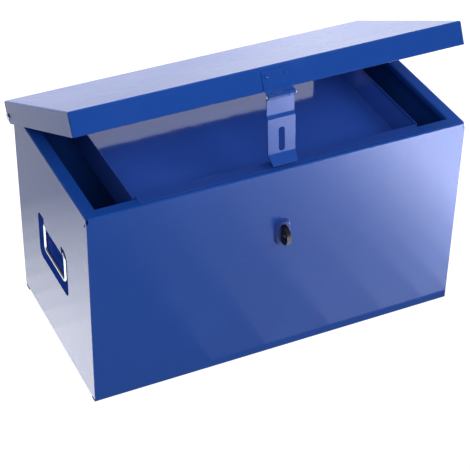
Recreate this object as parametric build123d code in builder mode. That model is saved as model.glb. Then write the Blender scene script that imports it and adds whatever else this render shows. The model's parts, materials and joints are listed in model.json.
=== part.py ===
"""Sheet-steel tool chest with a hinged lid, a padlock hasp, two drop handles and a sliding tray.

The chest stands on z = 0 with its long side along X and its front towards -Y. The origin is the
middle of its base. The lid is modelled part open, resting LID_ANGLE above closed.
"""
import os

from build123d import *

os.makedirs("parts", exist_ok=True)

# Chest, outside sizes.
WIDTH = 650.0
DEPTH = 328.0
HEIGHT = 362.0
SHEET = 1.5
SIDE_GROUND_GAP = 5.0
BEND_RADIUS = 3.0
RIM_WIDTH = 22.0
RIM_DROP = 10.0
BASE_HEM = 14.0
CORNER_FLANGE = 16.0
FLOOR_FLANGE = 20.0
FLOOR_RIB_LENGTH = 540.0
FLOOR_RIB_WIDTH = 44.0
FLOOR_RIB_CORNER = 14.0
FLANGE_SHORTFALL = 4.0
HANGING_HOLE_RADIUS = 2.6
HANGING_HOLE_INSET = 8.0
HANGING_HOLE_DROP = 15.4
NOTCH = 3.0
NOTCH_DROP = 9.0
OVERCUT = 1.0

# Lid: a shallow cap with a skirt at the front and both ends.
LID_ANGLE = 27.4
LID_HEIGHT = 38.0
LID_FRONT_GAP = 1.1
LID_END_GAP = 1.5
LID_TOP = HEIGHT + 3.6
LID_FRONT = -DEPTH / 2 - LID_FRONT_GAP - SHEET
LID_BACK = 188.8
LID_CORNER = 13.0
LID_HEM = 20.0

# Hinge rod behind the back panel.
PIVOT_Y = 181.0
PIVOT_Z = 340.0
ROD_RADIUS = 3.0
BARREL_RADIUS = 5.4
RUNNING_GAP = 0.06
BRACKET_LENGTH = 60.0
BRACKET_SPACING = 240.0
BRACKET_SHEET = 2.0
BRACKET_TAIL = 24.0
BRACKET_RIVET_DROP = 14.4
ROD_END = 1.0
CAP_RADIUS = 5.5
CAP_LENGTH = 2.4
CAP_TAPER = 20.0

# Hasp on the lid.
HASP_WIDTH = 46.5
HASP_SHEET = 2.0
HASP_PIN_Y = -175.62
HASP_PIN_Z = 319.6
HASP_PIN_RADIUS = 2.0
HASP_KNUCKLE_RADIUS = 4.4
HASP_PLATE_HEIGHT = 31.0
HASP_RIVET_REACH = 16.5
HASP_RIVET_DROP = 15.0
HASP_LIP_BEND = 1.5
HASP_LIP_RISE = 3.0
HASP_LIP_REACH = 1.2
HASP_PIN_END = 1.5
KNUCKLE_SIDE_GAP = 0.4
KNUCKLE_CLEARANCE = 1.5
STRAP_SHEET = 2.5
STRAP_KNUCKLE = 22.0
STRAP_LENGTH = 99.5
STRAP_SHOULDER = 5.0
STRAP_SETBACK = 4.0
STRAP_STEP_START = 33.2
STRAP_STEP_END = 38.4
STRAP_STEP = 3.2
STRAP_BEND = 2.0
STRAP_TAB = 14.5
STRAP_TAB_DROP = 13.5
STRAP_TAB_WIDTH = 42.0
STRAP_TILT = 4.8
SLOT_WIDTH = 10.2
SLOT_HEIGHT = 41.0
SLOT_CENTRE = 75.3

# Padlock staple on the front panel.
STAPLE_Z = 243.0
STAPLE_PLATE_WIDTH = 29.0
STAPLE_PLATE_HEIGHT = 50.0
STAPLE_PLATE_RISE = 6.0
STAPLE_PLATE_SHEET = 1.5
STAPLE_PLATE_TAPER = 30.0
STAPLE_THICK = 7.6
STAPLE_HEIGHT = 32.0
STAPLE_REACH = 27.0
STAPLE_EYE_RADIUS = 5.0
STAPLE_EYE_INSET = 8.8
STAPLE_FOOT_HEIGHT = 52.0
STAPLE_FOOT_WIDTH = 22.0
STAPLE_HOLE_GAP = 0.4

# Drop handle in each end panel.
HANDLE_Y = 3.0
HANDLE_Z = 182.5
HANDLE_LENGTH = 132.0
HANDLE_HEIGHT = 89.0
HANDLE_CORNER = 14.0
DISH_DEPTH = 24.0
DISH_SHEET = 1.2
DISH_FLANGE = 12.0
BAIL_RADIUS = 2.8
BAIL_LENGTH = 94.0
BAIL_DROP = 54.0
BAIL_CORNER = 9.0
BAIL_INSET = 4.3
BAIL_AXLE_Z = 211.5
CLIP_LENGTH = 78.0
CLIP_SHEET = 1.0

# Tray hung across the chest from the front and back rims.
TRAY_SHEET = 1.2
TRAY_SHIFT = 5.0
TRAY_LENGTH = 494.0
TRAY_INSIDE_Y = 137.7
TRAY_DEEP = 53.0
TRAY_HANGER_REACH = 19.3
TRAY_HANGER_LENGTH = 484.0
TRAY_CORNER = 5.0

RIVET_HEAD_RADIUS = 3.9
RIVET_HEAD_RISE = 1.6
RIVET_TAPER = 28.0

FRONT = -DEPTH / 2
END = WIDTH / 2
HINGE_AXIS = Axis((0, PIVOT_Y, PIVOT_Z), (-1, 0, 0))
HASP_AXIS = Axis((0, HASP_PIN_Y, HASP_PIN_Z), (-1, 0, 0))


def save(builder, name):
    """Label a finished piece and write it to its own file."""
    builder.part.label = name
    export_step(builder.part, f"parts/{name}.step")


def turned(part, angle, axis):
    """The same piece turned about an axis."""
    return part.rotate(axis, angle)


def raised_with_lid(part):
    """A piece drawn with the lid closed, turned to the resting lid."""
    return turned(part, LID_ANGLE, HINGE_AXIS)


def save_turned(part, name):
    """Write a piece that was turned after its builder closed."""
    part.label = name
    export_step(part, f"parts/{name}.step")


def wall_profile(sign, half_width, hem, foot):
    """Centre line of a panel's section: base hem or plain foot, wall, rim and its drop."""
    wall = sign * (half_width - SHEET / 2)
    lip = sign * (half_width - RIM_WIDTH + SHEET / 2)
    top = HEIGHT - SHEET / 2
    route = [(wall, foot), (wall, top), (lip, top), (lip, HEIGHT - RIM_DROP)]
    if hem:
        route = [(sign * (half_width - hem), SHEET / 2), (wall, SHEET / 2)] + route[1:]
    return FilletPolyline(*route, radius=BEND_RADIUS - SHEET / 2)


def mitres(reach_x, reach_y, corners, along_x):
    """Corner triangles to cut from a rim, so that rims meet on the diagonal."""
    with BuildSketch(Plane.XY.offset(HEIGHT - RIM_DROP - OVERCUT)) as triangles:
        for sign_x, sign_y in corners:
            corner = (sign_x * reach_x, sign_y * reach_y)
            inner = (sign_x * (reach_x - RIM_WIDTH - OVERCUT), sign_y * (reach_y - RIM_WIDTH - OVERCUT))
            third = (inner[0], corner[1]) if along_x else (corner[0], inner[1])
            with BuildLine():
                Polyline(corner, inner, third, close=True)
            make_face()
    return triangles.sketch


def corner_notches():
    """Small squares cut out of the top corners, where the bends of two rims would meet."""
    with BuildSketch(Plane.XY.offset(HEIGHT + OVERCUT)) as squares:
        with GridLocations(WIDTH, DEPTH, 2, 2):
            Rectangle(2 * NOTCH, 2 * NOTCH)
    return squares.sketch


def staple_hole(plane):
    """Outline of the hole that the staple passes through, with a little room all round."""
    with BuildSketch(plane) as hole:
        with Locations((0, STAPLE_Z)):
            Rectangle(STAPLE_THICK + 2 * STAPLE_HOLE_GAP, STAPLE_HEIGHT + 2 * STAPLE_HOLE_GAP)
    return hole.sketch


def long_panel(sign):
    """Front (-1) or back (+1) panel with its rim folded inwards."""
    with BuildPart() as panel:
        with BuildSketch(Plane.YZ.offset(-END)):
            with BuildLine():
                wall_profile(sign, DEPTH / 2, BASE_HEM, 0)
            trace(line_width=SHEET)
        extrude(amount=WIDTH)
        corner_cuts = mitres(END, DEPTH / 2, [(-1, sign), (1, sign)], along_x=False)
        extrude(corner_cuts, amount=RIM_DROP + 2 * OVERCUT, mode=Mode.SUBTRACT)
        extrude(corner_notches(), amount=-NOTCH_DROP - OVERCUT, mode=Mode.SUBTRACT)
        if sign < 0:
            behind = Plane.XZ.offset(-FRONT - SHEET - OVERCUT)
            extrude(staple_hole(behind), amount=SHEET + 2 * OVERCUT, mode=Mode.SUBTRACT)
    return panel


def end_panel(sign):
    """Left (-1) or right (+1) panel: folded rim, corner flanges, handle opening and hanging hole."""
    inner_y = DEPTH / 2 - SHEET
    outside = Plane.YZ.offset(sign * (END + OVERCUT))
    with BuildPart() as panel:
        with BuildSketch(Plane.XZ.offset(-inner_y)):
            with BuildLine():
                wall_profile(sign, END, 0, SIDE_GROUND_GAP)
            trace(line_width=SHEET)
        extrude(amount=2 * inner_y)
        corner_cuts = mitres(END, DEPTH / 2, [(sign, -1), (sign, 1)], along_x=True)
        extrude(corner_cuts, amount=RIM_DROP + 2 * OVERCUT, mode=Mode.SUBTRACT)
        extrude(corner_notches(), amount=-NOTCH_DROP - OVERCUT, mode=Mode.SUBTRACT)
        flange_x = sign * (END - (CORNER_FLANGE + SHEET) / 2)
        for side in (-1, 1):
            flange_y = side * (inner_y - SHEET / 2)
            with BuildSketch(Plane.XY.offset(SIDE_GROUND_GAP)):
                with Locations((flange_x, flange_y)):
                    Rectangle(CORNER_FLANGE, SHEET)
            extrude(amount=HEIGHT - RIM_DROP - FLANGE_SHORTFALL - SIDE_GROUND_GAP)
        with BuildSketch(outside):
            with Locations((HANDLE_Y, HANDLE_Z)):
                RectangleRounded(HANDLE_LENGTH, HANDLE_HEIGHT, HANDLE_CORNER)
            with Locations((FRONT + HANGING_HOLE_INSET, HEIGHT - HANGING_HOLE_DROP)):
                Circle(HANGING_HOLE_RADIUS)
        extrude(amount=-sign * (2 * SHEET + OVERCUT), mode=Mode.SUBTRACT)
    return panel


def rivet_circles(plane, points):
    """Outlines of rivet heads on a plane."""
    with BuildSketch(plane) as circles:
        with Locations(*points):
            Circle(RIVET_HEAD_RADIUS)
    return circles.sketch


def floor_panel():
    """The floor: a pan welded inside the four walls, its stiffening rib pressed down to the ground."""
    length = WIDTH - 2 * SHEET
    width = DEPTH - 4 * SHEET
    with BuildPart() as floor:
        with BuildSketch(Plane.XY.offset(SIDE_GROUND_GAP)):
            RectangleRounded(length, width, BEND_RADIUS)
        extrude(amount=FLOOR_FLANGE)
        with BuildSketch():
            RectangleRounded(FLOOR_RIB_LENGTH, FLOOR_RIB_WIDTH, FLOOR_RIB_CORNER)
        extrude(amount=SIDE_GROUND_GAP)
        with BuildSketch(Plane.XY.offset(SIDE_GROUND_GAP + SHEET)):
            RectangleRounded(length - 2 * SHEET, width - 2 * SHEET, BEND_RADIUS - SHEET)
        extrude(amount=FLOOR_FLANGE, mode=Mode.SUBTRACT)
        with BuildSketch(Plane.XY.offset(SHEET)):
            RectangleRounded(
                FLOOR_RIB_LENGTH - 2 * SHEET, FLOOR_RIB_WIDTH - 2 * SHEET, FLOOR_RIB_CORNER - SHEET
            )
        extrude(amount=SIDE_GROUND_GAP + OVERCUT, mode=Mode.SUBTRACT)
    return floor


def handle_dish(sign):
    """Drawn recess welded behind the handle opening."""
    face = sign * (END - SHEET)
    inwards = -sign
    flange = 2 * DISH_FLANGE
    wall = 2 * DISH_SHEET
    with BuildPart() as dish:
        with BuildSketch(Plane.YZ.offset(face)):
            with Locations((HANDLE_Y, HANDLE_Z)):
                RectangleRounded(HANDLE_LENGTH + flange, HANDLE_HEIGHT + flange, HANDLE_CORNER + DISH_FLANGE)
        extrude(amount=inwards * DISH_SHEET)
        with BuildSketch(Plane.YZ.offset(face)):
            with Locations((HANDLE_Y, HANDLE_Z)):
                RectangleRounded(HANDLE_LENGTH + wall, HANDLE_HEIGHT + wall, HANDLE_CORNER + DISH_SHEET)
        extrude(amount=inwards * (DISH_DEPTH - SHEET + DISH_SHEET))
        with BuildSketch(Plane.YZ.offset(face)):
            with Locations((HANDLE_Y, HANDLE_Z)):
                RectangleRounded(HANDLE_LENGTH, HANDLE_HEIGHT, HANDLE_CORNER)
        extrude(amount=inwards * (DISH_DEPTH - SHEET), mode=Mode.SUBTRACT)
    return dish


def bail_clip(sign):
    """Strip that wraps the bail's axle and is welded under the dish's top wall."""
    axle_x = sign * (END - BAIL_INSET)
    outer = BAIL_RADIUS + RUNNING_GAP + CLIP_SHEET
    top = HANDLE_Z + HANDLE_HEIGHT / 2
    tail_x = axle_x + sign * (outer - CLIP_SHEET / 2)
    with BuildPart() as clip:
        with BuildSketch(Plane.XZ.offset(-HANDLE_Y - CLIP_LENGTH / 2)):
            with Locations((axle_x, BAIL_AXLE_Z)):
                Circle(outer)
            with Locations((tail_x, (BAIL_AXLE_Z + top) / 2)):
                Rectangle(CLIP_SHEET, top - BAIL_AXLE_Z)
            with Locations((axle_x, BAIL_AXLE_Z)):
                Circle(BAIL_RADIUS + RUNNING_GAP, mode=Mode.SUBTRACT)
        extrude(amount=CLIP_LENGTH)
    return clip


def bail(sign):
    """Closed wire loop that hangs from its axle inside the recess."""
    axle_x = sign * (END - BAIL_INSET)
    low = BAIL_AXLE_Z - BAIL_DROP
    near = HANDLE_Y - BAIL_LENGTH / 2
    far = HANDLE_Y + BAIL_LENGTH / 2
    with BuildPart() as loop:
        with BuildLine(Plane.YZ.offset(axle_x)) as path:
            FilletPolyline(
                (near, BAIL_AXLE_Z),
                (far, BAIL_AXLE_Z),
                (far, low),
                (near, low),
                radius=BAIL_CORNER,
                close=True,
            )
        with BuildSketch(Plane.XZ.offset(-HANDLE_Y)):
            with Locations((axle_x, BAIL_AXLE_Z)):
                Circle(BAIL_RADIUS)
        sweep(path=path.wires()[0])
    return loop


def hinge_bracket(centre_x):
    """Plate riveted on the back panel with a barrel rolled round the hinge rod."""
    back = DEPTH / 2
    arm_low = PIVOT_Z - BARREL_RADIUS
    start = centre_x - BRACKET_LENGTH / 2
    with BuildPart() as bracket:
        with BuildSketch(Plane.YZ.offset(start)):
            with Locations((back + BRACKET_SHEET / 2, arm_low + BRACKET_SHEET - BRACKET_TAIL / 2)):
                Rectangle(BRACKET_SHEET, BRACKET_TAIL)
            with Locations(((back + PIVOT_Y) / 2, arm_low + BRACKET_SHEET / 2)):
                Rectangle(PIVOT_Y - back, BRACKET_SHEET)
            with Locations((PIVOT_Y, PIVOT_Z)):
                Circle(BARREL_RADIUS)
                Circle(ROD_RADIUS + RUNNING_GAP, mode=Mode.SUBTRACT)
        extrude(amount=BRACKET_LENGTH)
    return bracket


def hinge_rivets(centres):
    """Two rivets for each hinge bracket, through the plate and the back panel."""
    height = PIVOT_Z - BARREL_RADIUS + BRACKET_SHEET - BRACKET_RIVET_DROP
    points = []
    for centre in centres:
        points += [(-centre - BRACKET_LENGTH / 3, height), (-centre + BRACKET_LENGTH / 3, height)]
    outside = Plane(origin=(0, DEPTH / 2 + BRACKET_SHEET, 0), x_dir=(-1, 0, 0), z_dir=(0, 1, 0))
    with BuildPart() as rivets:
        extrude(rivet_circles(outside, points), amount=RIVET_HEAD_RISE, taper=RIVET_TAPER)
    return rivets


def hinge_rod():
    """Steel rod on which the lid turns, right through both ends of the lid."""
    reach = END + LID_END_GAP + SHEET + ROD_END
    with BuildPart() as rod:
        with BuildSketch(Plane.YZ.offset(-reach)):
            with Locations((PIVOT_Y, PIVOT_Z)):
                Circle(ROD_RADIUS)
        extrude(amount=2 * reach)
    return rod


def rod_caps():
    """Domed push-on caps that keep the lid on the rod."""
    skirt = END + LID_END_GAP + SHEET
    with BuildPart() as caps:
        for sign in (-1, 1):
            with BuildSketch(Plane.YZ.offset(sign * (skirt + ROD_END))):
                with Locations((PIVOT_Y, PIVOT_Z)):
                    Circle(CAP_RADIUS)
            extrude(amount=sign * (CAP_LENGTH - ROD_END), taper=CAP_TAPER)
    return caps


def lid_side_outline(inset):
    """Side view of the lid's end skirt, with its low back corner rounded about the rod."""
    low = LID_TOP - LID_HEIGHT
    front = LID_FRONT + inset
    back = LID_BACK - inset
    corner = LID_CORNER - inset
    Polyline((back, low + corner), (back, LID_TOP - inset), (front, LID_TOP - inset), (front, low))
    Line((front, low), (back - corner, low))
    RadiusArc((back - corner, low), (back, low + corner), -corner)


def lid_pan():
    """Lid in one sheet: top, front skirt, two end skirts and a short hem behind."""
    half = END + LID_END_GAP + SHEET
    low = LID_TOP - LID_HEIGHT
    with BuildPart() as pan:
        with BuildSketch(Plane.YZ.offset(-half)):
            with BuildLine():
                lid_side_outline(0)
            make_face()
        extrude(amount=2 * half)
        top_edges = pan.edges().group_by(Axis.Z)[-1]
        front_corners = pan.edges().filter_by(Axis.Z).group_by(Axis.Y)[0]
        fillet(top_edges + front_corners, radius=BEND_RADIUS)
        with BuildSketch(Plane.YZ.offset(-half + SHEET)):
            with BuildLine():
                Polyline(
                    (LID_FRONT + SHEET, low - OVERCUT),
                    (LID_FRONT + SHEET, LID_TOP - SHEET),
                    (LID_BACK - SHEET, LID_TOP - SHEET),
                    (LID_BACK - SHEET, low - OVERCUT),
                    close=True,
                )
            make_face()
        extrude(amount=2 * (half - SHEET), mode=Mode.SUBTRACT)
        with BuildSketch(Plane.YZ.offset(-half - OVERCUT)):
            with Locations((PIVOT_Y, PIVOT_Z)):
                Circle(ROD_RADIUS + RUNNING_GAP)
        extrude(amount=2 * (half + OVERCUT), mode=Mode.SUBTRACT)
        with BuildSketch(Plane.XY.offset(low - OVERCUT)):
            with Locations((0, LID_BACK)):
                Rectangle(2 * (half - SHEET), 3 * SHEET)
        extrude(amount=LID_HEIGHT - LID_HEM + OVERCUT, mode=Mode.SUBTRACT)
    return pan


def hasp_bracket():
    """Plate on the lid's front skirt whose lip carries the two outer hinge knuckles."""
    low = LID_TOP - LID_HEIGHT
    plate_y = LID_FRONT - HASP_SHEET / 2
    start = -HASP_WIDTH / 2
    with BuildPart() as bracket:
        with BuildSketch(Plane.YZ.offset(start)):
            with BuildLine():
                FilletPolyline(
                    (plate_y, low + HASP_PLATE_HEIGHT),
                    (plate_y, low + HASP_SHEET / 2),
                    (HASP_PIN_Y + HASP_LIP_REACH, HASP_PIN_Z + HASP_LIP_RISE),
                    radius=HASP_LIP_BEND,
                )
            trace(line_width=HASP_SHEET)
        extrude(amount=HASP_WIDTH)
        with BuildSketch(Plane.YZ.offset(start)):
            with Locations((HASP_PIN_Y, HASP_PIN_Z)):
                Circle(HASP_KNUCKLE_RADIUS)
        extrude(amount=HASP_WIDTH)
        with BuildSketch(Plane.YZ.offset(start - OVERCUT)):
            with Locations((HASP_PIN_Y, HASP_PIN_Z)):
                Circle(HASP_PIN_RADIUS + RUNNING_GAP)
        extrude(amount=HASP_WIDTH + 2 * OVERCUT, mode=Mode.SUBTRACT)
        with BuildSketch(Plane.YZ.offset(-STRAP_KNUCKLE / 2 - KNUCKLE_SIDE_GAP)):
            with Locations((HASP_PIN_Y, HASP_PIN_Z)):
                Circle(HASP_KNUCKLE_RADIUS + KNUCKLE_CLEARANCE)
        extrude(amount=STRAP_KNUCKLE + 2 * KNUCKLE_SIDE_GAP, mode=Mode.SUBTRACT)
    return bracket


def hasp_rivets():
    """Two rivets that hold the hasp bracket on the lid's skirt."""
    height = LID_TOP - HASP_RIVET_DROP
    plane = Plane.XZ.offset(-LID_FRONT + HASP_SHEET)
    points = [(-HASP_RIVET_REACH, height), (HASP_RIVET_REACH, height)]
    with BuildPart() as rivets:
        extrude(rivet_circles(plane, points), amount=RIVET_HEAD_RISE, taper=RIVET_TAPER)
    return rivets


def hasp_pin():
    """Pin through the hasp's knuckles."""
    reach = HASP_WIDTH / 2 + HASP_PIN_END
    with BuildPart() as pin:
        with BuildSketch(Plane.YZ.offset(-reach)):
            with Locations((HASP_PIN_Y, HASP_PIN_Z)):
                Circle(HASP_PIN_RADIUS)
        extrude(amount=2 * reach)
    return pin


def hasp_strap():
    """Hanging strap: centre knuckle, step away from the panel, slot and out-turned finger tab."""
    hang = HASP_PIN_Y + STRAP_SETBACK
    front = hang - STRAP_STEP
    bottom = HASP_PIN_Z - STRAP_LENGTH
    behind = Plane.XZ.offset(-front - 2 * STRAP_SHEET)
    with BuildPart() as strap:
        with BuildSketch(Plane.YZ.offset(-HASP_WIDTH / 2)):
            with BuildLine():
                FilletPolyline(
                    (hang, HASP_PIN_Z - STRAP_SHOULDER),
                    (hang, HASP_PIN_Z - STRAP_STEP_START),
                    (front, HASP_PIN_Z - STRAP_STEP_END),
                    (front, bottom),
                    (front - STRAP_TAB, bottom - STRAP_TAB_DROP),
                    radius=STRAP_BEND,
                )
            trace(line_width=STRAP_SHEET)
        extrude(amount=HASP_WIDTH)
        with BuildSketch(Plane.YZ.offset(-STRAP_KNUCKLE / 2)):
            with Locations((HASP_PIN_Y, HASP_PIN_Z)):
                Circle(HASP_KNUCKLE_RADIUS)
            with Locations((hang, HASP_PIN_Z - STRAP_SHOULDER / 2)):
                Rectangle(STRAP_SHEET, STRAP_SHOULDER + OVERCUT)
            with Locations((HASP_PIN_Y, HASP_PIN_Z)):
                Circle(HASP_PIN_RADIUS + RUNNING_GAP, mode=Mode.SUBTRACT)
        extrude(amount=STRAP_KNUCKLE)
        with BuildSketch(behind):
            with Locations((0, HASP_PIN_Z - SLOT_CENTRE)):
                SlotOverall(SLOT_HEIGHT, SLOT_WIDTH, rotation=90)
        extrude(amount=4 * STRAP_SHEET, mode=Mode.SUBTRACT)
        for side in (-1, 1):
            with BuildSketch(behind):
                with BuildLine():
                    Polyline(
                        (side * HASP_WIDTH / 2, bottom - OVERCUT),
                        (side * (HASP_WIDTH / 2 + OVERCUT), bottom - OVERCUT),
                        (side * (HASP_WIDTH / 2 + OVERCUT), bottom - 2 * STRAP_TAB),
                        (side * STRAP_TAB_WIDTH / 2, bottom - 2 * STRAP_TAB),
                        (side * STRAP_TAB_WIDTH / 2, bottom - STRAP_TAB_DROP),
                        close=True,
                    )
                make_face()
            extrude(amount=2 * STRAP_TAB, mode=Mode.SUBTRACT)
    return strap


def staple_plate():
    """Oval dished plate round the staple."""
    base = Plane.XZ.offset(-FRONT)
    rise = STAPLE_PLATE_RISE
    inside = STAPLE_PLATE_SHEET
    with BuildPart() as plate:
        with BuildSketch(base):
            with Locations((0, STAPLE_Z)):
                SlotOverall(STAPLE_PLATE_HEIGHT, STAPLE_PLATE_WIDTH, rotation=90)
        extrude(amount=rise, taper=STAPLE_PLATE_TAPER)
        with BuildSketch(base):
            with Locations((0, STAPLE_Z)):
                SlotOverall(STAPLE_PLATE_HEIGHT - 2 * inside, STAPLE_PLATE_WIDTH - 2 * inside, rotation=90)
        extrude(amount=rise - inside, taper=STAPLE_PLATE_TAPER, mode=Mode.SUBTRACT)
        extrude(staple_hole(base), amount=rise + OVERCUT, mode=Mode.SUBTRACT)
    return plate


def staple_loop():
    """Flat eye that stands out of the front panel and takes the padlock, with a foot inside."""
    inside = FRONT + SHEET
    tip = FRONT - STAPLE_REACH
    radius = STAPLE_HEIGHT / 2
    with BuildPart() as loop:
        with BuildSketch(Plane.YZ.offset(-STAPLE_THICK / 2)):
            with Locations((tip + radius, STAPLE_Z)):
                Circle(radius)
            with Locations(((tip + radius + inside) / 2, STAPLE_Z)):
                Rectangle(inside - tip - radius, STAPLE_HEIGHT)
            with Locations((tip + STAPLE_EYE_INSET, STAPLE_Z)):
                Circle(STAPLE_EYE_RADIUS, mode=Mode.SUBTRACT)
        extrude(amount=STAPLE_THICK)
        with BuildSketch(Plane.XZ.offset(-inside)):
            with Locations((0, STAPLE_Z)):
                SlotOverall(STAPLE_FOOT_HEIGHT, STAPLE_FOOT_WIDTH, rotation=90)
        extrude(amount=-2 * SHEET)
    return loop


def tray_pan():
    """Open tray with folded hangers that lie on the front and back rims."""
    outer_width = 2 * (TRAY_INSIDE_Y + TRAY_SHEET)
    floor = HEIGHT - TRAY_DEEP - TRAY_SHEET
    hanger = TRAY_SHEET + TRAY_HANGER_REACH
    with BuildPart() as tray:
        with BuildSketch(Plane.XY.offset(floor)):
            with Locations((TRAY_SHIFT, 0)):
                RectangleRounded(TRAY_LENGTH, outer_width, TRAY_CORNER)
        extrude(amount=TRAY_DEEP + TRAY_SHEET)
        with BuildSketch(Plane.XY.offset(HEIGHT)):
            for side in (-1, 1):
                with Locations((TRAY_SHIFT, side * (TRAY_INSIDE_Y + hanger / 2))):
                    Rectangle(TRAY_HANGER_LENGTH, hanger)
        extrude(amount=TRAY_SHEET)
        with BuildSketch(Plane.XY.offset(floor + TRAY_SHEET)):
            with Locations((TRAY_SHIFT, 0)):
                RectangleRounded(
                    TRAY_LENGTH - 2 * TRAY_SHEET,
                    outer_width - 2 * TRAY_SHEET,
                    TRAY_CORNER - TRAY_SHEET,
                )
        extrude(amount=TRAY_DEEP + 2 * TRAY_SHEET, mode=Mode.SUBTRACT)
    return tray


def chest():
    """The fixed sheets of the chest."""
    save(long_panel(-1), "front_panel")
    save(long_panel(1), "back_panel")
    save(floor_panel(), "floor_panel")
    for sign, side in ((-1, "left"), (1, "right")):
        save(end_panel(sign), f"{side}_end_panel")
        save(handle_dish(sign), f"{side}_handle_dish")
        save(bail_clip(sign), f"{side}_bail_clip")
        save(bail(sign), f"{side}_bail")


def hinge():
    """Rod, brackets and their fixings."""
    centres = (-BRACKET_SPACING, 0, BRACKET_SPACING)
    for centre, place in zip(centres, ("left", "centre", "right")):
        save(hinge_bracket(centre), f"{place}_hinge_bracket")
    save(hinge_rivets(centres), "hinge_rivets")
    save(hinge_rod(), "hinge_rod")
    save(rod_caps(), "rod_caps")


def lid_and_hasp():
    """Everything that rises with the lid, set at the lid's resting angle."""
    save_turned(raised_with_lid(lid_pan().part), "lid_pan")
    save_turned(raised_with_lid(hasp_bracket().part), "hasp_bracket")
    save_turned(raised_with_lid(hasp_rivets().part), "hasp_rivets")
    save_turned(raised_with_lid(hasp_pin().part), "hasp_pin")
    strap = turned(hasp_strap().part, STRAP_TILT - LID_ANGLE, HASP_AXIS)
    save_turned(raised_with_lid(strap), "hasp_strap")


chest()
hinge()
lid_and_hasp()
save(staple_plate(), "staple_plate")
save(staple_loop(), "staple_loop")
save(tray_pan(), "tray_pan")
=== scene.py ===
import json
from math import cos, pi, radians, sin

import bmesh
import bpy
from bpy.props import FloatProperty, FloatVectorProperty, PointerProperty
from mathutils import Matrix, Vector


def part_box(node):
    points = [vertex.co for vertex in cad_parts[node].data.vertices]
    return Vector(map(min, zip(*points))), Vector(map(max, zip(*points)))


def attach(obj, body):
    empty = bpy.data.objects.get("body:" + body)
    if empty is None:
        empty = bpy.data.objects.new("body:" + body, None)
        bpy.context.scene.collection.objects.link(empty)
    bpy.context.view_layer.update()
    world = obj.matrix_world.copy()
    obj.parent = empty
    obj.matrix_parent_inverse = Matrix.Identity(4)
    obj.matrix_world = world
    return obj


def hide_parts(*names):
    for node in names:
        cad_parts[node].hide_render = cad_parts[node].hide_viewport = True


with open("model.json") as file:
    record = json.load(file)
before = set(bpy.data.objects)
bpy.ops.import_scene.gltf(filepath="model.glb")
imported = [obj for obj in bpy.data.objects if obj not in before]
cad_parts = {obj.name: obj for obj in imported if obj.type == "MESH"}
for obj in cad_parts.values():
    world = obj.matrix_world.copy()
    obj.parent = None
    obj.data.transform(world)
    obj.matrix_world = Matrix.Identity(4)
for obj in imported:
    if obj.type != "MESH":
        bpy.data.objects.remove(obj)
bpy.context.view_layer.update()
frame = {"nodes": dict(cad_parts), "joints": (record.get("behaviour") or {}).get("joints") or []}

bl_info = {
    "name": "Steel Tool Chest",
    "version": (1, 0, 0),
    "blender": (4, 5, 0),
    "location": "View3D > Sidebar > Tool Chest",
    "description": "Dresses a sheet-steel tool chest with hinged lid, hasp, drop handles and tray",
    "category": "Add Mesh",
}

MM = 0.001
JOINTS = {joint["name"]: joint for joint in frame["joints"]}
FRONT_LOW, FRONT_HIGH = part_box("front_panel")
HALF_WIDTH = FRONT_HIGH.x
FRONT_FACE = FRONT_LOW.y
BACK_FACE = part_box("back_panel")[1].y
RIM_TOP = FRONT_HIGH.z
PIVOT = Vector(JOINTS["lid_raise"]["pos_m"])
LID_REST = -radians(JOINTS["lid_lower"]["range_deg"][0])
UP = Vector((0.0, 0.0, 1.0))

# Sheet work.
DISH_FLANGE = 12.0 * MM
DISH_SHEET = 1.2 * MM
WELD = 0.002 * MM
FLAT = radians(0.6)
SHARP = radians(30)
EDGE_SEGMENTS = 3
DOME_SEGMENTS = 4
BEND_SEGMENTS = 8

# Bump heights of the finishes.
PEEL = 0.022 * MM
RIPPLE = 0.22 * MM
WIRE_LINES = 0.03 * MM
ROD_LINES = 0.05 * MM
OXIDE_GRAIN = 0.02 * MM
ENAMEL_IOR = 1.2

# Studio.
FLOOR_SIZE = 20.0
FLOOR_GLOW = 0.93
WORLD_LIGHT = 0.3
SENSOR_WIDTH = 36.0
VIEW_DEPTH = 100.0
TARGET_X = -0.00258
MIDDLE = (0.0, 0.0, 0.25)
# Name, place, point that it faces, size, radiance, and whether it shows in the paint or the gloss.
SOFT_LIGHTS = (
    ("overhead_softbox", (0.5, -0.1, 1.75), (0.05, 0.0, 0.45), (1.3, 1.0), 1.5, "gloss"),
    ("right_key", (1.15, -2.3, 2.2), MIDDLE, (1.4, 1.1), 6.6, "paint"),
    ("left_key", (-0.9, -2.3, 2.2), MIDDLE, (1.4, 1.1), 6.6, "paint"),
    ("back_softbox", (0.2, 1.9, 1.7), (0.0, 0.0, 0.4), (1.6, 1.0), 12.0, "paint"),
)
CARD_HEIGHT = 12.0 * MM
CARD_STEP = 0.5 * MM
CARD_GAP = 4.0 * MM
LID_CARDS = 5
LID_CARD_NEAR = (1.9, 3.2)
LID_CARD_FAR = (0.44, 0.6)
LID_CARD_SHRINK = (0.2, 0.1)
LID_CARD_LIGHT = 0.55
LEFT_CARDS = 8
LEFT_CARD_NEAR = (-1.0, -0.7)
LEFT_CARD_BACK = 0.38
LEFT_CARD_FADE = 0.40
LEFT_CARD_LIGHT = 2.7
LEFT_CARD_HEIGHT = 1.0 * MM
LEFT_CARD_GAP = 0.5 * MM
RIGHT_CARD_NEAR = (1.6, -1.6)
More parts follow.
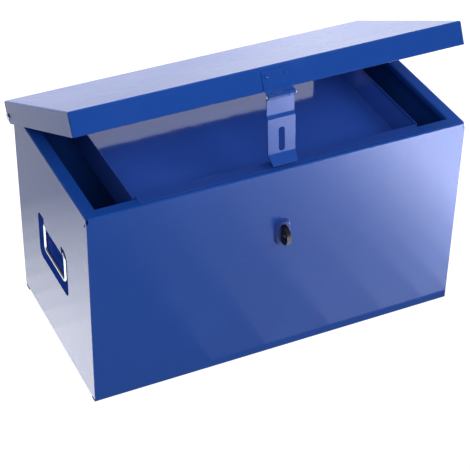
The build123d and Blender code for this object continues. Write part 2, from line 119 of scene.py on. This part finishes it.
# Left edge of each card on the right-hand floor and the light that it adds.
RIGHT_CARD = (
    (-0.12, 0.9), (-0.02, 1.3), (0.10, 1.8), (0.20, 1.8), (0.28, 2.4), (0.33, 3.8), (0.38, 5.5),
    (0.43, 7.0), (0.48, 14.0),
)
HANGER_REACH = 21.2 * MM
TRAY_FILL_DROP = 7.0 * MM
TRAY_FILL_MARGIN = 10.0 * MM
TRAY_FILL_LIGHT = 0.25
STRIP_MIDDLE = -15.0 * MM
STRIP_RISE = 23.0 * MM
STRIP_SIZE = (0.450, 41.0 * MM)
STRIP_LIGHT = 5.4


# ---------------------------------------------------------------- settings


class ChestSizes(bpy.types.PropertyGroup):
    """Sizes of the sheet work that a maker would change."""

    sheet_round: FloatProperty(
        name="Sheet edge round",
        description="Rounding of the thin sheets' cut edges",
        default=0.4 * MM,
        unit="LENGTH",
    )
    strip_round: FloatProperty(
        name="Strip edge round",
        description="Rounding of the thicker strip's edges",
        default=0.7 * MM,
        unit="LENGTH",
    )
    dome_round: FloatProperty(
        name="Rivet round",
        description="Rounding of rivet heads, rod caps and the staple",
        default=1.0 * MM,
        unit="LENGTH",
    )
    dish_draft: FloatProperty(
        name="Dish draft",
        description="How far each wall of the handle recess slopes inwards",
        default=4.0 * MM,
        unit="LENGTH",
    )
    dish_corner: FloatProperty(
        name="Dish corner",
        description="Corner radius of the opening; the recess's own corners are larger by its flange",
        default=14.0 * MM,
        unit="LENGTH",
    )
    dish_round: FloatProperty(
        name="Dish round",
        description="Radius between the recess's walls and bottom",
        default=8.0 * MM,
        unit="LENGTH",
    )


class ChestColours(bpy.types.PropertyGroup):
    """Colours of the finishes."""

    enamel: FloatVectorProperty(
        name="Enamel",
        description="Blue stove enamel",
        subtype="COLOR",
        default=(0.010, 0.066, 0.35),
        min=0,
        max=1,
    )
    enamel_thin: FloatVectorProperty(
        name="Thin enamel",
        description="Enamel where the film is thin, at edges and bends",
        subtype="COLOR",
        default=(0.024, 0.09, 0.43),
        min=0,
        max=1,
    )
    zinc: FloatVectorProperty(
        name="Zinc",
        description="Bright zinc plating",
        subtype="COLOR",
        default=(0.36, 0.38, 0.44),
        min=0,
        max=1,
    )
    black_oxide: FloatVectorProperty(
        name="Black oxide",
        description="Staple finish",
        subtype="COLOR",
        default=(0.012, 0.012, 0.016),
        min=0,
        max=1,
    )
    floor: FloatVectorProperty(
        name="Floor", description="Studio floor", subtype="COLOR", default=(0.2, 0.2, 0.2), min=0, max=1
    )


class StageSettings(bpy.types.PropertyGroup):
    """Where the camera stands and how long its lens is."""

    azimuth: FloatProperty(
        name="Azimuth",
        description="Camera turned to the left of the front",
        default=radians(25.847),
        unit="ROTATION",
    )
    elevation: FloatProperty(
        name="Elevation",
        description="Camera above the horizon",
        default=radians(37.057),
        unit="ROTATION",
    )
    roll: FloatProperty(name="Roll", description="Camera roll", default=radians(1.067), unit="ROTATION")
    distance: FloatProperty(name="Distance", description="Camera to target", default=2.7565, unit="LENGTH")
    target_height: FloatProperty(
        name="Target height", description="Height looked at", default=0.12307, unit="LENGTH"
    )
    focal: FloatProperty(name="Focal length", description="Lens in millimetres", default=124.54)


# ---------------------------------------------------------------- shader graphs


class Socket:
    """An output socket that takes part in Python arithmetic."""

    def __init__(self, graph, socket):
        self.graph = graph
        self.socket = socket

    def maths(self, operation, first, second):
        return self.graph.node("ShaderNodeMath", {"operation": operation}, {0: first, 1: second})

    def __add__(self, other):
        return self.maths("ADD", self, other)

    def __radd__(self, other):
        return self.maths("ADD", self, other)

    def __sub__(self, other):
        return self.maths("SUBTRACT", self, other)

    def __rsub__(self, other):
        return self.maths("SUBTRACT", other, self)

    def __mul__(self, other):
        return self.maths("MULTIPLY", self, other)

    def __rmul__(self, other):
        return self.maths("MULTIPLY", self, other)


class Graph:
    """A material's node tree, built up from expressions."""

    def __init__(self, name):
        self.material = bpy.data.materials.new(name)
        self.material.use_nodes = True
        self.tree = self.material.node_tree
        self.shader = next(n for n in self.tree.nodes if n.type == "BSDF_PRINCIPLED")
        self.place = self.node("ShaderNodeTexCoord", output="Object")

    def node(self, kind, settings=None, values=None, output=0):
        """Adds a node, applies its settings, then feeds its sockets."""
        made = self.tree.nodes.new(kind)
        for key, value in (settings or {}).items():
            setattr(made, key, value)
        for key, value in (values or {}).items():
            self.feed(made.inputs[key], value)
        return Socket(self, made.outputs[output])

    def feed(self, target, value):
        if isinstance(value, Socket):
            self.tree.links.new(value.socket, target)
        elif hasattr(value, "__len__") and target.type == "RGBA" and len(value) == 3:
            target.default_value = (*value, 1.0)
        else:
            target.default_value = value

    def turned(self, angle, centre):
        """Object coordinates turned about the X axis through a centre, for a pattern on a tilted piece."""
        values = {0: self.place, 1: tuple(centre)}
        shifted = self.node("ShaderNodeVectorMath", {"operation": "SUBTRACT"}, values)
        return self.node("ShaderNodeMapping", {}, {"Vector": shifted, "Rotation": (angle, 0, 0)})

    def noise(self, where, scale, detail=2.0, roughness=0.5, stretch=None):
        if stretch:
            where = self.node("ShaderNodeMapping", {}, {"Vector": where, "Scale": stretch})
        values = {"Vector": where, "Scale": scale, "Detail": detail, "Roughness": roughness}
        return self.node("ShaderNodeTexNoise", {}, values)

    def step(self, value, low, high):
        """0 below low, 1 above high, smooth between."""
        settings = {"interpolation_type": "SMOOTHSTEP"}
        return self.node("ShaderNodeMapRange", settings, {0: value, 1: low, 2: high, 3: 0.0, 4: 1.0})

    def mix(self, factor, first, second):
        settings = {"data_type": "RGBA"}
        return self.node("ShaderNodeMix", settings, {0: factor, 6: first, 7: second}, output=2)

    def bump(self, height, distance, normal=None):
        values = {"Height": height, "Distance": distance, "Strength": 1.0}
        if normal:
            values["Normal"] = normal
        return self.node("ShaderNodeBump", {}, values)

    def finish(self, **sockets):
        for key, value in sockets.items():
            self.feed(self.shader.inputs[key.replace("_", " ").title().replace("Ior", "IOR")], value)
        return self.material


def enamel(name, where=None, painted_light_scale=1.0, dust=0.5, painted_haze_amount=0.0, rough=0.17):
    """Glossy stove enamel: orange peel, slow drift of the film, fine dust and faint rubbing marks; for pieces
    in shade its colours can be scaled lighter or darker and given a faint reddish haze, as painted light and
    painted shade.
    """
    colours = bpy.context.scene.chest_colours
    graph = Graph(name)
    place = where(graph) if where else graph.place
    peel = graph.noise(place, 420.0, 2.0, 0.45)
    ripple = graph.noise(place, 46.0, 1.0, 0.5)
    drift = graph.noise(place, 5.0, 3.0, 0.55)
    specks = graph.step(graph.noise(place, 900.0, 4.0, 0.7), 0.66, 0.74)
    film = graph.noise(place, 90.0, 6.0, 0.6)
    rubs = graph.step(graph.noise(place, 30.0, 3.0, 0.6, stretch=(1.0, 14.0, 14.0)), 0.62, 0.72)
    thin = graph.step(drift, 0.45, 0.75) * 0.35 + graph.step(film, 0.5, 0.8) * 0.2
    # Painted light and painted shade: both enamel colours are scaled lighter or darker and a faint reddish
    # haze is added, standing for the light or shade that falls on some pieces.
    painted_haze_colour = (painted_haze_amount, painted_haze_amount / 3, 0.0)
    deep_with_painted_light = tuple(channel * painted_light_scale + extra for channel, extra in zip(colours.enamel, painted_haze_colour))
    pale_with_painted_light = tuple(channel * painted_light_scale + extra for channel, extra in zip(colours.enamel_thin, painted_haze_colour))
    paint = graph.mix(thin, deep_with_painted_light, pale_with_painted_light)
    dust_and_painted_light = graph.mix(specks * (0.10 * dust), paint, (0.55, 0.57, 0.62))
    sheen = rough + drift * 0.06 + film * 0.05 + specks * (0.12 * dust) + rubs * 0.05
    relief = graph.bump(ripple, RIPPLE)
    skin = graph.bump(peel, PEEL, normal=relief)
    return graph.finish(base_color=dust_and_painted_light, roughness=sheen, normal=skin, ior=ENAMEL_IOR)


def zinc(name, along="x", wire=False):
    """Bright zinc plating: fine drawing lines, a paler cloud and a duller patina in places."""
    colours = bpy.context.scene.chest_colours
    graph = Graph(name)
    stretch = {"x": (2.0, 60.0, 60.0), "y": (60.0, 2.0, 60.0)}[along]
    lines = graph.noise(graph.place, 22.0, 4.0, 0.6, stretch=stretch)
    cloud = graph.noise(graph.place, 70.0, 4.0, 0.6)
    grime = graph.step(graph.noise(graph.place, 34.0, 6.0, 0.65), 0.52, 0.78)
    bright = graph.mix(grime * 0.55, tuple(colours.zinc), (0.33, 0.34, 0.36))
    tinted = graph.mix(graph.step(cloud, 0.4, 0.7) * 0.3, bright, (0.60, 0.62, 0.68))
    rough = 0.2 + lines * 0.14 + grime * 0.2
    relief = graph.bump(lines, WIRE_LINES if wire else ROD_LINES)
    return graph.finish(base_color=tinted, roughness=rough, metallic=1.0, normal=relief)


def black_oxide(name):
    """Black oxide on hardened steel, rubbed to grey in places."""
    colours = bpy.context.scene.chest_colours
    graph = Graph(name)
    grain = graph.noise(graph.place, 700.0, 4.0, 0.6)
    rub = graph.step(graph.noise(graph.place, 110.0, 5.0, 0.6), 0.55, 0.75)
    tint = graph.mix(rub * 0.35, tuple(colours.black_oxide), (0.11, 0.11, 0.125))
    rough = 0.42 + grain * 0.12 - rub * 0.1
    relief = graph.bump(grain, OXIDE_GRAIN)
    return graph.finish(base_color=tint, roughness=rough, metallic=0.75, normal=relief)


def closed_lid_place(graph):
    """Coordinates that lie square to the lid although it rests part open."""
    return graph.turned(LID_REST, PIVOT)


def dress(node, material):
    """Gives a CAD node its finish."""
    shown = frame["nodes"][node]
    shown.data.materials.clear()
    shown.data.materials.append(material)


def finished(kind):
    """The one material of each finish, made the first time that it is asked for."""
    known = bpy.data.materials.get(kind)
    return known or FINISHES[kind](kind)


FINISHES = {
    "body_enamel": enamel,
    "lid_enamel": lambda name: enamel(name, closed_lid_place),
    # Handle recess: the body's blue painted 1.7 times lighter with a faint reddish haze, painted light in the
    # shaded recess.
    "recess_enamel_painted_lighter": lambda name: enamel(name, painted_light_scale=1.7, painted_haze_amount=0.015),
    # Tray: more dust and a glossier coat, plus a faint reddish haze painted into its colour as light for its
    # shaded inside.
    "tray_enamel_painted_haze": lambda name: enamel(name, dust=1.3, painted_haze_amount=0.012, rough=0.06),
    # Staple plate: the body's blue painted darker at 0.6 with a faint reddish haze, painted shade, and a
    # rougher coat.
    "staple_enamel_painted_shade": lambda name: enamel(name, painted_light_scale=0.6, painted_haze_amount=0.015, rough=0.4),
    "handle_zinc": lambda name: zinc(name, "y", wire=True),
    "rod_zinc": zinc,
    "staple_black": black_oxide,
}


def link(name, mesh, kind, body, slot, *nodes):
    """Adds a piece to the scene: its finish, the body that it rides on and the nodes that it stands for."""
    mesh.shade_smooth()
    piece = bpy.data.objects.new(name, mesh)
    bpy.context.scene.collection.objects.link(piece)
    mesh.materials.append(finished(kind))
    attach(piece, body)
    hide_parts(*nodes)
    return piece


def round_edges(piece, width, segments=EDGE_SEGMENTS):
    """Rounds every sharp edge and keeps the flat faces flat."""
    bevel = piece.modifiers.new("edge_round", "BEVEL")
    bevel.width = width
    bevel.segments = segments
    bevel.limit_method = "ANGLE"
    bevel.angle_limit = SHARP
    bevel.profile = 0.5
    flats = piece.modifiers.new("flat_faces", "WEIGHTED_NORMAL")
    flats.mode = "FACE_AREA"


def sheet_copy(node):
    """A merged copy of a CAD node's mesh, its flat faces whole again."""
    bm = bmesh.new()
    bm.from_mesh(frame["nodes"][node].data)
    bmesh.ops.remove_doubles(bm, verts=bm.verts, dist=WELD)
    bmesh.ops.dissolve_limit(bm, angle_limit=FLAT, verts=bm.verts, edges=bm.edges, delimit=set())
    mesh = bpy.data.meshes.new(f"{node}_rounded")
    bm.to_mesh(mesh)
    bm.free()
    return mesh


def rounded(node, kind, body, slot, width, segments=EDGE_SEGMENTS):
    """A CAD node's shape with its edges rounded over."""
    piece = link(f"{node}_rounded", sheet_copy(node), kind, body, slot, node)
    round_edges(piece, width, segments)


# ---------------------------------------------------------------- operators


class CHEST_OT_finishes(bpy.types.Operator):
    """Give the carried-over nodes their finishes"""

    bl_idname = "chest.finishes"
    bl_label = "Finishes"

    def execute(self, context):
        for node in ("floor_panel", "hinge_rivets", "left_bail_clip", "right_bail_clip"):
            dress(node, finished("body_enamel"))
        for node in ("left_bail", "right_bail"):
            dress(node, finished("handle_zinc"))
        for node in ("hinge_rod", "hasp_pin"):
            dress(node, finished("rod_zinc"))
        return {"FINISHED"}


class CHEST_OT_sheets(bpy.types.Operator):
    """Make the four folded panels and the hinge brackets, edges rounded"""

    bl_idname = "chest.sheets"
    bl_label = "Panels and hinge brackets"

    def execute(self, context):
        width = context.scene.chest_sizes.sheet_round
        for node in ("front_panel", "back_panel", "left_end_panel", "right_end_panel"):
            rounded(node, "body_enamel", "root", "blue_paint", width)
        for side in ("left", "centre", "right"):
            rounded(f"{side}_hinge_bracket", "body_enamel", "root", "blue_paint", width)
        return {"FINISHED"}


class CHEST_OT_lid(bpy.types.Operator):
    """Make the lid pan with its rounded hems, and the caps on its rod"""

    bl_idname = "chest.lid"
    bl_label = "Lid"

    def execute(self, context):
        sizes = context.scene.chest_sizes
        rounded("lid_pan", "lid_enamel", "lid", "lid_paint", sizes.sheet_round)
        rounded("rod_caps", "rod_zinc", "hinge_rod", "zinc_rod", sizes.dome_round, segments=DOME_SEGMENTS)
        return {"FINISHED"}


class CHEST_OT_hasp(bpy.types.Operator):
    """Make the hasp: bracket, domed rivets and the slotted strap with soft edges"""

    bl_idname = "chest.hasp"
    bl_label = "Hasp"

    def execute(self, context):
        sizes = context.scene.chest_sizes
        rounded("hasp_bracket", "lid_enamel", "lid", "hasp_paint", sizes.sheet_round)
        rounded("hasp_rivets", "lid_enamel", "lid", "hasp_paint", sizes.dome_round, segments=DOME_SEGMENTS)
        rounded("hasp_strap", "lid_enamel", "hasp_strap", "hasp_paint", sizes.strip_round)
        return {"FINISHED"}


class CHEST_OT_staple(bpy.types.Operator):
    """Make the padlock staple and the dished plate round it"""

    bl_idname = "chest.staple"
    bl_label = "Staple"

    def execute(self, context):
        sizes = context.scene.chest_sizes
        rounded("staple_plate", "staple_enamel_painted_shade", "root", "staple_paint", sizes.sheet_round)
        dome = sizes.dome_round
        rounded("staple_loop", "staple_black", "root", "black_steel", dome, segments=DOME_SEGMENTS)
        return {"FINISHED"}


class CHEST_OT_tray(bpy.types.Operator):
    """Make the hanging tray, edges rounded"""

    bl_idname = "chest.tray"
    bl_label = "Tray"

    def execute(self, context):
        rounded("tray_pan", "tray_enamel_painted_haze", "tray", "tray_paint", context.scene.chest_sizes.sheet_round)
        return {"FINISHED"}


class CHEST_OT_handle_dishes(bpy.types.Operator):
    """Draw the recess behind each handle: rounded corners, sloping walls and a soft bottom edge"""

    bl_idname = "chest.handle_dishes"
    bl_label = "Handle recesses"

    def execute(self, context):
        sizes = context.scene.chest_sizes
        for side, inwards in (("left", 1.0), ("right", -1.0)):
            draw_dish(side, inwards, sizes)
        return {"FINISHED"}


def draw_dish(side, inwards, sizes):
    """A recess drawn from one rounded rectangle as large as the dish's outer edge, with no flange."""
    low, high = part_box(f"{side}_handle_dish")
    mouth_x = low.x if inwards > 0 else high.x
    middle = (low + high) / 2
    bend = {"segments": BEND_SEGMENTS, "profile": 0.5, "material": -1, "clamp_overlap": True}
    bm = bmesh.new()
    for y, z in ((low.y, low.z), (high.y, low.z), (high.y, high.z), (low.y, high.z)):
        bm.verts.new((mouth_x, y, z))
    bm.faces.new(bm.verts)
    corner = sizes.dish_corner + DISH_FLANGE
    bmesh.ops.bevel(bm, geom=list(bm.verts), affect="VERTICES", offset=corner, **bend)
    blank = bm.faces[:][0]
    bm.normal_update()
    if blank.normal.x * inwards > 0:
        blank.normal_flip()
    drawn = bmesh.ops.extrude_face_region(bm, geom=[blank])["geom"]
    bottom = next(item for item in drawn if isinstance(item, bmesh.types.BMFace))
    bmesh.ops.delete(bm, geom=[blank], context="FACES_ONLY")
    depth = high.x - low.x - DISH_SHEET
    for vert in bottom.verts:
        reach = vert.co - middle
        vert.co.x += inwards * depth
        vert.co.y -= sizes.dish_draft * (1 if reach.y > 0 else -1)
        vert.co.z -= sizes.dish_draft * (1 if reach.z > 0 else -1)
    bmesh.ops.bevel(bm, geom=list(bottom.edges), affect="EDGES", offset=sizes.dish_round, **bend)
    mesh = bpy.data.meshes.new(f"{side}_recess")
    bm.to_mesh(mesh)
    bm.free()
    recess = link(f"{side}_recess", mesh, "recess_enamel_painted_lighter", "root", "blue_paint", f"{side}_handle_dish")
    wall = recess.modifiers.new("sheet", "SOLIDIFY")
    wall.thickness = DISH_SHEET
    wall.offset = -1.0
    wall.use_even_offset = True
    round_edges(recess, sizes.sheet_round)


class CHEST_OT_stage(bpy.types.Operator):
    """Lay the studio floor, hang the soft lights and place the camera"""

    bl_idname = "chest.stage"
    bl_label = "Stage"

    def execute(self, context):
        add_floor(context.scene.chest_colours)
        add_lights()
        add_camera(context.scene.chest_stage)
        context.scene.view_settings.view_transform = "Standard"
        return {"FINISHED"}


def add_floor(colours):
    """A wide pale sheet of paper that glows, so that it stays white behind the chest."""
    bm = bmesh.new()
    bmesh.ops.create_grid(bm, x_segments=1, y_segments=1, size=FLOOR_SIZE)
    mesh = bpy.data.meshes.new("studio_floor")
    bm.to_mesh(mesh)
    bm.free()
    floor = bpy.data.objects.new("studio_floor", mesh)
    bpy.context.scene.collection.objects.link(floor)
    graph = Graph("floor_paper")
    grain = graph.noise(graph.place, 60.0, 3.0)
    paper = graph.mix(grain * 0.3, tuple(colours.floor), tuple(0.97 * c for c in colours.floor))
    glow = {"emission_color": (1.0, 1.0, 1.0), "emission_strength": FLOOR_GLOW}
    mesh.materials.append(graph.finish(base_color=paper, roughness=0.7 + grain * 0.1, **glow))
    floor.visible_diffuse = False


def soft_light(name, place, aim, size, radiance, seen_in):
    """A rectangle of light that faces a point, unseen by the camera, and lights the paint or the gloss."""
    light = bpy.data.lights.new(name, "AREA")
    light.shape = "RECTANGLE"
    light.size, light.size_y = size
    light.energy = radiance * size[0] * size[1] * pi
    lamp = bpy.data.objects.new(name, light)
    bpy.context.scene.collection.objects.link(lamp)
    lamp.location = place
    lamp.rotation_euler = (Vector(aim) - Vector(place)).to_track_quat("-Z", "Y").to_euler()
    lamp.visible_camera = False
    lamp.visible_diffuse = seen_in != "gloss"
    lamp.visible_glossy = seen_in != "paint"


def floor_card(name, near, far, radiance, height):
    """A card of light that lies face up between two corners and shows only in the gloss."""
    middle = [(n + f) / 2 for n, f in zip(near, far)]
    size = [abs(n - f) for n, f in zip(near, far)]
    place = Vector((*middle, height))
    soft_light(name, place, place + UP, size, radiance, "gloss")


def add_lid_cards():
    """Cards stacked behind the chest to the right for the lid to mirror, each smaller than the last."""
    for step in range(LID_CARDS):
        share = step / LID_CARDS
        sides = zip(LID_CARD_NEAR, LID_CARD_FAR, LID_CARD_SHRINK)
        corner = [far + (near - far) * shrink * share for near, far, shrink in sides]
        height = CARD_HEIGHT + step * CARD_STEP
        floor_card(f"lid_card_{step}", LID_CARD_NEAR, corner, LID_CARD_LIGHT / LID_CARDS, height)


def add_left_cards():
    """Cards stacked to the left of the chest, each shorter at the back, for the left end to mirror."""
    for step in range(LEFT_CARDS):
        back = LEFT_CARD_BACK - step * LEFT_CARD_FADE / LEFT_CARDS
        corner = (-HALF_WIDTH - LEFT_CARD_GAP, back)
        height = LEFT_CARD_HEIGHT + step * CARD_STEP
        floor_card(f"left_card_{step}", LEFT_CARD_NEAR, corner, LEFT_CARD_LIGHT / LEFT_CARDS, height)


def add_right_cards():
    """Cards stacked in front of the chest that add up towards the right, for the front to mirror."""
    for step, (edge, radiance) in enumerate(RIGHT_CARD):
        corner = (edge, FRONT_FACE - CARD_GAP)
        height = CARD_HEIGHT + step * CARD_STEP
        floor_card(f"right_card_{step}", RIGHT_CARD_NEAR, corner, radiance, height)


def add_tray_lights():
    """A weak fill over the tray and a strip of light at its back wall for its floor to mirror."""
    low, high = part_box("tray_pan")
    rim = Vector(((low.x + high.x) / 2, 0.0, RIM_TOP - TRAY_FILL_DROP))
    opening = (high.x - low.x, 2 * BACK_FACE - TRAY_FILL_MARGIN)
    soft_light("tray_fill", rim, rim - UP, opening, TRAY_FILL_LIGHT, "paint")
    wall = Vector((STRIP_MIDDLE, high.y - HANGER_REACH, low.z + STRIP_RISE))
    front = wall - Vector((0.0, 1.0, 0.0))
    soft_light("tray_strip", wall, front, STRIP_SIZE, STRIP_LIGHT, "gloss")


def add_lights():
    """Bright soft light: a softbox for the gloss, three for the paint, cards on the floor, the tray's own."""
    for light in SOFT_LIGHTS:
        soft_light(*light)
    add_lid_cards()
    add_left_cards()
    add_right_cards()
    add_tray_lights()
    world = bpy.data.worlds.new("studio")
    world.use_nodes = True
    background = world.node_tree.nodes["Background"]
    background.inputs["Color"].default_value = (1.0, 1.0, 1.0, 1.0)
    background.inputs["Strength"].default_value = WORLD_LIGHT
    bpy.context.scene.world = world


def add_camera(settings):
    """A long lens that looks down on the chest from the front left."""
    data = bpy.data.cameras.new("view_camera")
    data.sensor_width = SENSOR_WIDTH
    data.lens = settings.focal
    data.clip_end = VIEW_DEPTH
    camera = bpy.data.objects.new("view_camera", data)
    bpy.context.scene.collection.objects.link(camera)
    flat = Vector((sin(settings.azimuth), cos(settings.azimuth), 0.0))
    forward = flat * cos(settings.elevation) - UP * sin(settings.elevation)
    right = forward.cross(UP).normalized()
    up = right.cross(forward)
    rolled_right = right * cos(settings.roll) + up * sin(settings.roll)
    rolled_up = up * cos(settings.roll) - right * sin(settings.roll)
    target = Vector((TARGET_X, 0.0, settings.target_height))
    place = target - forward * settings.distance
    turn = Matrix((rolled_right, rolled_up, -forward)).transposed().to_4x4()
    camera.matrix_world = Matrix.Translation(place) @ turn
    bpy.context.scene.camera = camera


class CHEST_PT_panel(bpy.types.Panel):
    """Lists the chest's settings and the operators that build it"""

    bl_label = "Tool Chest"
    bl_idname = "CHEST_PT_panel"
    bl_space_type = "VIEW_3D"
    bl_region_type = "UI"
    bl_category = "Tool Chest"

    def draw(self, context):
        for group in (context.scene.chest_sizes, context.scene.chest_colours, context.scene.chest_stage):
            for name in group.__annotations__:
                self.layout.prop(group, name)
        for operator in OPERATORS:
            self.layout.operator(operator.bl_idname)


OPERATORS = (
    CHEST_OT_finishes,
    CHEST_OT_sheets,
    CHEST_OT_handle_dishes,
    CHEST_OT_lid,
    CHEST_OT_hasp,
    CHEST_OT_staple,
    CHEST_OT_tray,
    CHEST_OT_stage,
)
GROUPS = (ChestSizes, ChestColours, StageSettings)


def register():
    for item in (*GROUPS, *OPERATORS, CHEST_PT_panel):
        bpy.utils.register_class(item)
    bpy.types.Scene.chest_sizes = PointerProperty(type=ChestSizes)
    bpy.types.Scene.chest_colours = PointerProperty(type=ChestColours)
    bpy.types.Scene.chest_stage = PointerProperty(type=StageSettings)


def unregister():
    del bpy.types.Scene.chest_stage
    del bpy.types.Scene.chest_colours
    del bpy.types.Scene.chest_sizes
    for item in reversed((*GROUPS, *OPERATORS, CHEST_PT_panel)):
        bpy.utils.unregister_class(item)


def main():
    register()
    for operator in OPERATORS:
        group, name = operator.bl_idname.split(".")
        getattr(getattr(bpy.ops, group), name)()


if __name__ == "__main__":
    main()
